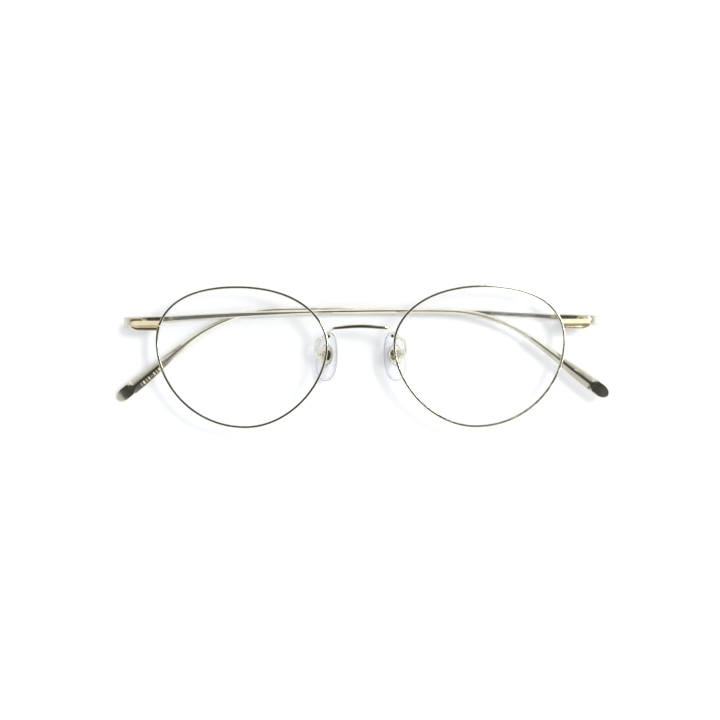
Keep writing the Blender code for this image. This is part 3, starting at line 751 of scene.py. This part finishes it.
def temple_section(along):
    """(height, depth) points around the bar at a length along it, depth growing towards the inner side."""
    half = temple_height(along) / 2
    to_end = TEMPLE_LENGTH - along
    if to_end < PADDLE_END_LENGTH:
        half *= math.sqrt(1 - (1 - to_end / PADDLE_END_LENGTH) ** 2) * 0.98 + 0.02
    squeeze = min(1.0, half / 0.7)
    ending = ease(-to_end, -END_FLAT[0], -END_FLAT[1])
    flat_share = 1 - ease(along, *FLAT_NARROWS) + ending
    flat = RIDGE_HALF + (half - 0.3 * squeeze - RIDGE_HALF) * min(1.0, flat_share)
    flat = min(flat, half * 0.9)
    paddle = ease(along, 112, 132)
    outer = -TEMPLE_OFFSET - TEMPLE_THICKNESS / 2 + 0.35 * max(0.0, 1 - along / 5)
    crown = -TEMPLE_OFFSET + TEMPLE_THICKNESS / 2
    crown += TEMPLE_CROWN * ease(along, HINGE_LANDING, HINGE_LANDING + 6)
    crown -= BUTT_SLOPE * max(0.0, BUTT_LENGTH - along) ** 2 / (2 * BUTT_LENGTH)
    crown -= END_CURVE * max(0.0, END_FLAT[0] - to_end) ** 2
    corner = 0.26 * squeeze
    bevel = 0.16 * squeeze * min(1.0, flat_share)
    sides = {}
    for way, flattening in ((1, UPPER_FLATTENING), (-1, LOWER_FLATTENING)):
        slope = FACET_SLOPE - flattening * paddle
        drop = min(bevel + slope * (half - flat) * (1 - ending), crown - outer - 0.4)
        edge = crown - drop
        points = [(half - 1.2 * corner, outer), (half - 0.35 * corner, outer + 0.08),
                  (half, min(outer + 0.3, edge - 0.2)), (half, edge - 0.12), (half - 0.02, edge - 0.05),
                  (half - 0.08 * squeeze, edge)]
        start = half - 0.08 * squeeze
        for t in (0.25, 0.5, 0.75, 1.0):
            swell = 0.06 * math.sin(math.pi * t) * (1 - ending)
            points.append((start + (flat - start) * t, edge + (crown - edge) * t + swell * drop))
        sides[way] = [(way * height, depth) for height, depth in points]
    return sides[1] + sides[-1][::-1]


def make_temple(side, sign):
    """A one-piece bar: a flat inner side at the hinge, then a ridge, and a paddle behind the ear."""
    _, carrier, _ = hinge_places(side, sign)
    fit = TEMPLE_FIT[side]
    rings = []
    for along, s, v, heading in temple_stations(fit["rise"], fit["bend"]):
        across = Vector((-math.sin(heading), math.cos(heading)))
        rings.append([Vector((-sign * (s + across.x * height), v + across.y * height, depth))
                      for height, depth in temple_section(along)])
    piece = loft(f"temple_bar_{side}", rings, "gold", carrier, smooth=24)
    done(piece, "gold", f"temple_arm_{side}", f"temple_{side}")


MARK_START = 130.0
MARK_SPACING = 0.95
MARK_LEVEL = -0.52             # share of the half height
MARK_LIFT = 0.012
MARK_SINK = 0.05
MARK_SIZES = (                 # length along, height
    (0.5, 0.9), (0.16, 0.9), (0.5, 0.9), (0.5, 0.16), (0.5, 0.9), (0.16, 0.9), (0.5, 0.9), (0.16, 0.9),
)


def make_marks(side, sign):
    """A row of plain strokes on a temple's inner side, on the paddle."""
    _, carrier, _ = hinge_places(side, sign)
    fit = TEMPLE_FIT[side]
    table = np.array(temple_stations(fit["rise"], fit["bend"]))
    work = bmesh.new()
    for i, (wide, tall) in enumerate(MARK_SIZES):
        middle = MARK_START + MARK_SPACING * i
        corners = []
        for dl, dh in ((-wide, -tall), (wide, -tall), (wide, tall), (-wide, tall)):
            along = middle + dl / 2
            s, v, heading = (np.interp(along, table[:, 0], table[:, k]) for k in (1, 2, 3))
            height = MARK_LEVEL * temple_height(along) / 2 + dh / 2
            section = temple_section(along)
            inner = sorted(section[5:len(section) - 5])
            depth = np.interp(height, [p[0] for p in inner], [p[1] for p in inner])
            place = (-sign * (s - math.sin(heading) * height), v + math.cos(heading) * height)
            corners.append((place, depth))
        low = [work.verts.new((*place, depth - MARK_SINK)) for place, depth in corners]
        high = [work.verts.new((*place, depth + MARK_LIFT)) for place, depth in corners]
        work.faces.new(low)
        work.faces.new(list(reversed(high)))
        for k in range(4):
            work.faces.new((low[k], low[(k + 1) % 4], high[(k + 1) % 4], high[k]))
    piece = add_mesh(f"size_strokes_{side}", work, "engraving", place=carrier)
    done(piece, "engraving", f"temple_arm_{side}")


# ---- nose pads ----------------------------------------------------------------------------

PAD_SPLAY = 44.0
PAD_FRONTAL = 5.0
PAD_LENGTH = 14.0
PAD_WIDTH = 8.0
PAD_TEARDROP = 0.10
PAD_SHIFT = -0.4
PAD_DEPTH = -2.1
PAD_PROFILE = (                # level, share of the outline, from the back to the skin side
    (0.85, 0.45), (0.86, 0.62), (0.84, 0.76), (0.76, 0.86), (0.60, 0.935), (0.38, 0.98), (0.10, 1.0),
    (-0.18, 0.985), (-0.45, 0.945), (-0.68, 0.87), (-0.86, 0.75), (-0.98, 0.58), (-1.04, 0.38), (-1.06, 0.15),
)
CORE_LENGTH = 5.5
CORE_WIDTH = 5.4
CORE_STEPS = (                 # level, share of the outline
    (0.30, 0.94), (0.34, 1.0), (0.76, 1.0), (0.84, 0.96), (0.86, 0.90), (0.84, 0.84), (0.62, 0.78),
    (0.56, 0.68),
)
PAD_PIN_HOLE = ((-2, 0.33), (2, 0.33))
PAD_PIN_PROFILE = (            # distance along the pin, radius
    (-1.08, 0.2), (-1.02, 0.27), (1.1, 0.27), (1.1, 0.47), (1.14, 0.5), (1.34, 0.5), (1.40, 0.44),
    (1.43, 0.34),
)
ARM_RADIUS = 0.34
ARM_STATIONS = 120
ARM_ROUTE = ((9.78, 5.1, -1.6), (10.3, 5.25, -2.4), (11.5, 5.1, -3.2), (12.4, 4.4, -4.1), (12.7, 3.1, -4.8),
             (12.8, 1.6, -5.2))
ARM_ENDS = (2.0, 1.22)         # depths behind the pad's pin where the arm meets its box


def pad_place(side, sign):
    """Pad frame on its joint: X across the pad, Y along it, Z away from the nose."""
    splay = math.radians(PAD_SPLAY)
    away = Vector((sign * math.cos(splay), 0, math.sin(splay)))
    along = Vector((0, 1, 0))
    turn = Matrix((along.cross(away), along, away)).transposed()
    turn = Matrix.Rotation(math.radians(sign * PAD_FRONTAL), 3, "Z") @ turn
    pivot = Vector(joint(f"nose_pad_{side}_rock")["pos_m"]) / MM
    return Matrix.Translation(pivot) @ turn.to_4x4()


def oval(width, length, count, level, shift=0.0, teardrop=0.0, power=1.0):
    """Points of an oval at a level; a power under 1 squares it, and the teardrop narrows its +Y end."""
    ring = []
    for i in range(count):
        turn = 2 * math.pi * i / count
        across = math.copysign(abs(math.cos(turn)) ** power, math.cos(turn))
        along = math.copysign(abs(math.sin(turn)) ** power, math.sin(turn))
        ring.append(Vector((width / 2 * across * (1 - teardrop * along), length / 2 * along + shift, level)))
    return ring


def make_nose_pad(side, sign):
    """A soft clear pad with a crowned skin side and a recess behind it for its core."""
    place = pad_place(side, sign)
    body = f"pad_body_{side}"
    rings = []
    for level, share in PAD_PROFILE:
        width, length = PAD_WIDTH * share, PAD_LENGTH - PAD_WIDTH * (1 - share)
        rings.append(oval(width, length, 96, level + PAD_DEPTH, PAD_SHIFT, PAD_TEARDROP, 0.88))
    pad = loft(f"silicone_pad_{side}", rings, "silicone", place, smooth=50)
    rings = [oval(CORE_WIDTH + 0.2, CORE_LENGTH + 0.2, 64, PAD_DEPTH + z) for z in (0.2, 1.5)]
    combine(pad, loft("recess", rings, None, place))
    done(pad, "silicone", body, f"nose_pad_{side}")

    rings = [oval(CORE_WIDTH * share, CORE_LENGTH * share, 64, PAD_DEPTH + z) for z, share in CORE_STEPS]
    core = loft(f"pad_core_plate_{side}", rings, "gold", place, smooth=50)
    tongue = block("tongue", (-0.45, -0.7, -1.6), (0.45, 0.7, 0.6), None, place)
    combine(core, tongue, operation="UNION")
    combine(core, turned("hole", PAD_PIN_HOLE, None, place, "X"))
    soften(core, 0.04, 2, 50)
    done(core, "gold", body, f"pad_core_{side}")


def make_pad_box(side, sign):
    """An open box with two cheeks, the screw pin through them, and the wire arm behind."""
    place = pad_place(side, sign)
    box = block(f"pad_cup_{side}", (-1.05, -1.25, -0.8), (1.05, 1.25, 1.2), "gold", place)
    inside = block("inside", (-0.55, -1.5, -1.0), (0.55, 1.5, 0.95), None, place)
    combine(box, inside, turned("hole", PAD_PIN_HOLE, None, place, "X"))
    soften(box, 0.12)
    done(box, "gold", "front", f"pad_box_{side}")

    screw = turned(f"pad_pin_{side}", PAD_PIN_PROFILE, "screw", place, "X", 32)
    slot = block("slot", (1.3, -0.6, -0.07), (1.6, 0.6, 0.07), None, place)
    combine(screw, slot)
    done(screw, "screw", "front", f"pad_screw_{side}")

    ends = [place @ Vector((0, 0, depth)) - Vector((0, 0, FRONT_HEIGHT)) for depth in ARM_ENDS]
    route = [Vector((sign * out, y, z)) for out, y, z in ARM_ROUTE] + ends
    path = smooth_through(route, ARM_STATIONS)
    last = ARM_STATIONS - 1
    rings = []
    side_way = Vector((0, 1, 0))
    for i, point in enumerate(path):
        along = Vector(path[min(i + 1, last)] - path[max(i - 1, 0)]).normalized()
        side_way = (side_way - along * side_way.dot(along)).normalized()
        other = along.cross(side_way)
        flare = 1 + 0.35 * (1 - ease(i, 0, 8)) + 0.3 * ease(i, last - 9, last)
        middle = Vector(point) + Vector((0, 0, FRONT_HEIGHT))
        rings.append([middle + (side_way * math.cos(t) + other * math.sin(t)) * ARM_RADIUS * min(flare, 1.3)
                      for t in np.linspace(0, 2 * math.pi, 20, endpoint=False)])
    arm = loft(f"pad_arm_wire_{side}", rings, "gold", smooth=50)
    done(arm, "gold", "front", f"pad_arm_{side}")


# ---- stage --------------------------------------------------------------------------------

CAMERA_HEIGHT = 0.9          # above the front
FIELD_WIDTH = 0.2023         # of the view, at the front
SENSOR_WIDTH = 36.0
CAMERA_PLACE = (-0.0002, -0.00085)
CAMERA_ROLL = -0.27
LIGHT_DISTANCE = 1.6
FLOOR_GAP = 0.00002
FLOOR_SIZE = 3000            # millimetres from the middle to an edge
WORLD_STRENGTH = 1.52
WORLD_BY_HEIGHT = ((0.0, 0.95), (0.60, 1.0), (0.77, 0.74), (0.875, 0.30), (0.94, 0.13),
                   (0.975, 0.065), (1.0, 0.04))
WORLD_BY_SIDE = ((0.0, 0.80), (0.20, 0.72), (0.35, 0.68), (0.58, 1.0), (1.0, 1.12))


def make_camera():
    """A long lens straight above the front, rolled a little."""
    data = bpy.data.cameras.new("camera")
    data.sensor_width = SENSOR_WIDTH
    data.lens = SENSOR_WIDTH * CAMERA_HEIGHT / FIELD_WIDTH
    data.clip_start, data.clip_end = 0.01, 20
    camera = bpy.data.objects.new("camera", data)
    bpy.context.scene.collection.objects.link(camera)
    camera.location = (*CAMERA_PLACE, FRONT_HEIGHT * MM + CAMERA_HEIGHT)
    camera.rotation_euler = (0, 0, math.radians(CAMERA_ROLL))
    bpy.context.scene.camera = camera


def make_floor():
    """A white table just under the lowest point of the object."""
    work = bmesh.new()
    bmesh.ops.create_grid(work, x_segments=8, y_segments=8, size=FLOOR_SIZE)
    floor = add_mesh("floor", work, None)
    floor.location.z = min(0.0, cad_box[0].z) - FLOOR_GAP
    made = Nodes("white_table")
    made.link(made.ramp(made.noise(6, 3), 0.885, 0.9), "Base Color")
    made.set(Roughness=0.9, Specular_IOR_Level=0.1)
    floor.data.materials.append(made.material)


def area_light(name, azimuth, elevation, size, power):
    """A soft box that faces the object from a direction given in degrees, azimuth from +X towards +Y."""
    data = bpy.data.lights.new(name, "AREA")
    data.shape = "RECTANGLE"
    data.size, data.size_y = size
    data.energy = power
    light = bpy.data.objects.new(name, data)
    bpy.context.scene.collection.objects.link(light)
    a, e = math.radians(azimuth), math.radians(elevation)
    place = Vector((math.cos(a) * math.cos(e), math.sin(a) * math.cos(e), math.sin(e))) * LIGHT_DISTANCE
    light.location = place
    light.rotation_mode = "QUATERNION"
    light.rotation_quaternion = (-place).to_track_quat("-Z", "Y")


def world_ramp(tree, source, stops):
    """Greys along a direction's component, as a colour."""
    ramp = tree.nodes.new("ShaderNodeValToRGB")
    tree.links.new(source, ramp.inputs["Fac"])
    elements = ramp.color_ramp.elements
    while len(elements) < len(stops):
        elements.new(0.5)
    for element, (place, grey) in zip(elements, stops):
        element.position = place
        element.color = (grey, grey * 1.01, grey * 1.03, 1)
    return ramp.outputs["Color"]


def make_world():
    """A pale room: dark overhead, where the ceiling is far and unlit, and dimmer to the viewer's left."""
    world = bpy.data.worlds.new("studio")
    world.use_nodes = True
    bpy.context.scene.world = world
    tree = world.node_tree
    background = tree.nodes["Background"]
    place = tree.nodes.new("ShaderNodeTexCoord")
    split = tree.nodes.new("ShaderNodeSeparateXYZ")
    tree.links.new(place.outputs["Generated"], split.inputs[0])
    across = tree.nodes.new("ShaderNodeMapRange")
    across.inputs["From Min"].default_value = -1.0
    tree.links.new(split.outputs["X"], across.inputs["Value"])
    by_height = world_ramp(tree, split.outputs["Z"], WORLD_BY_HEIGHT)
    by_side = world_ramp(tree, across.outputs["Result"], WORLD_BY_SIDE)
    product = tree.nodes.new("ShaderNodeVectorMath")
    product.operation = "MULTIPLY"
    tree.links.new(by_height, product.inputs[0])
    tree.links.new(by_side, product.inputs[1])
    tree.links.new(product.outputs[0], background.inputs["Color"])
    background.inputs["Strength"].default_value = WORLD_STRENGTH


def make_stage():
    """A small hard key from the upper right, and two faint panels for the metal to reflect."""
    make_camera()
    make_floor()
    make_world()
    area_light("key_softbox", 24, 67, (0.30, 0.30), 9.0)
    area_light("brow_panel", 100, 63, (0.45, 0.45), 0.40)
    area_light("chin_panel", 240, 66, (0.8, 0.4), 0.6)
    view = bpy.context.scene.view_settings
    view.view_transform = "Standard"
    view.look = "None"


make_stage()
make_bridge()
for side, sign in SIDES.items():
    make_eyewire(side, sign)
    make_lens(side, sign)
    make_solder_bead(side, sign)
    make_lug(side, sign)
    make_closing_blocks(side, sign)
    make_hinge(side, sign)
    make_temple(side, sign)
    make_nose_pad(side, sign)
    make_pad_box(side, sign)
make_marks("left", SIDES["left"])
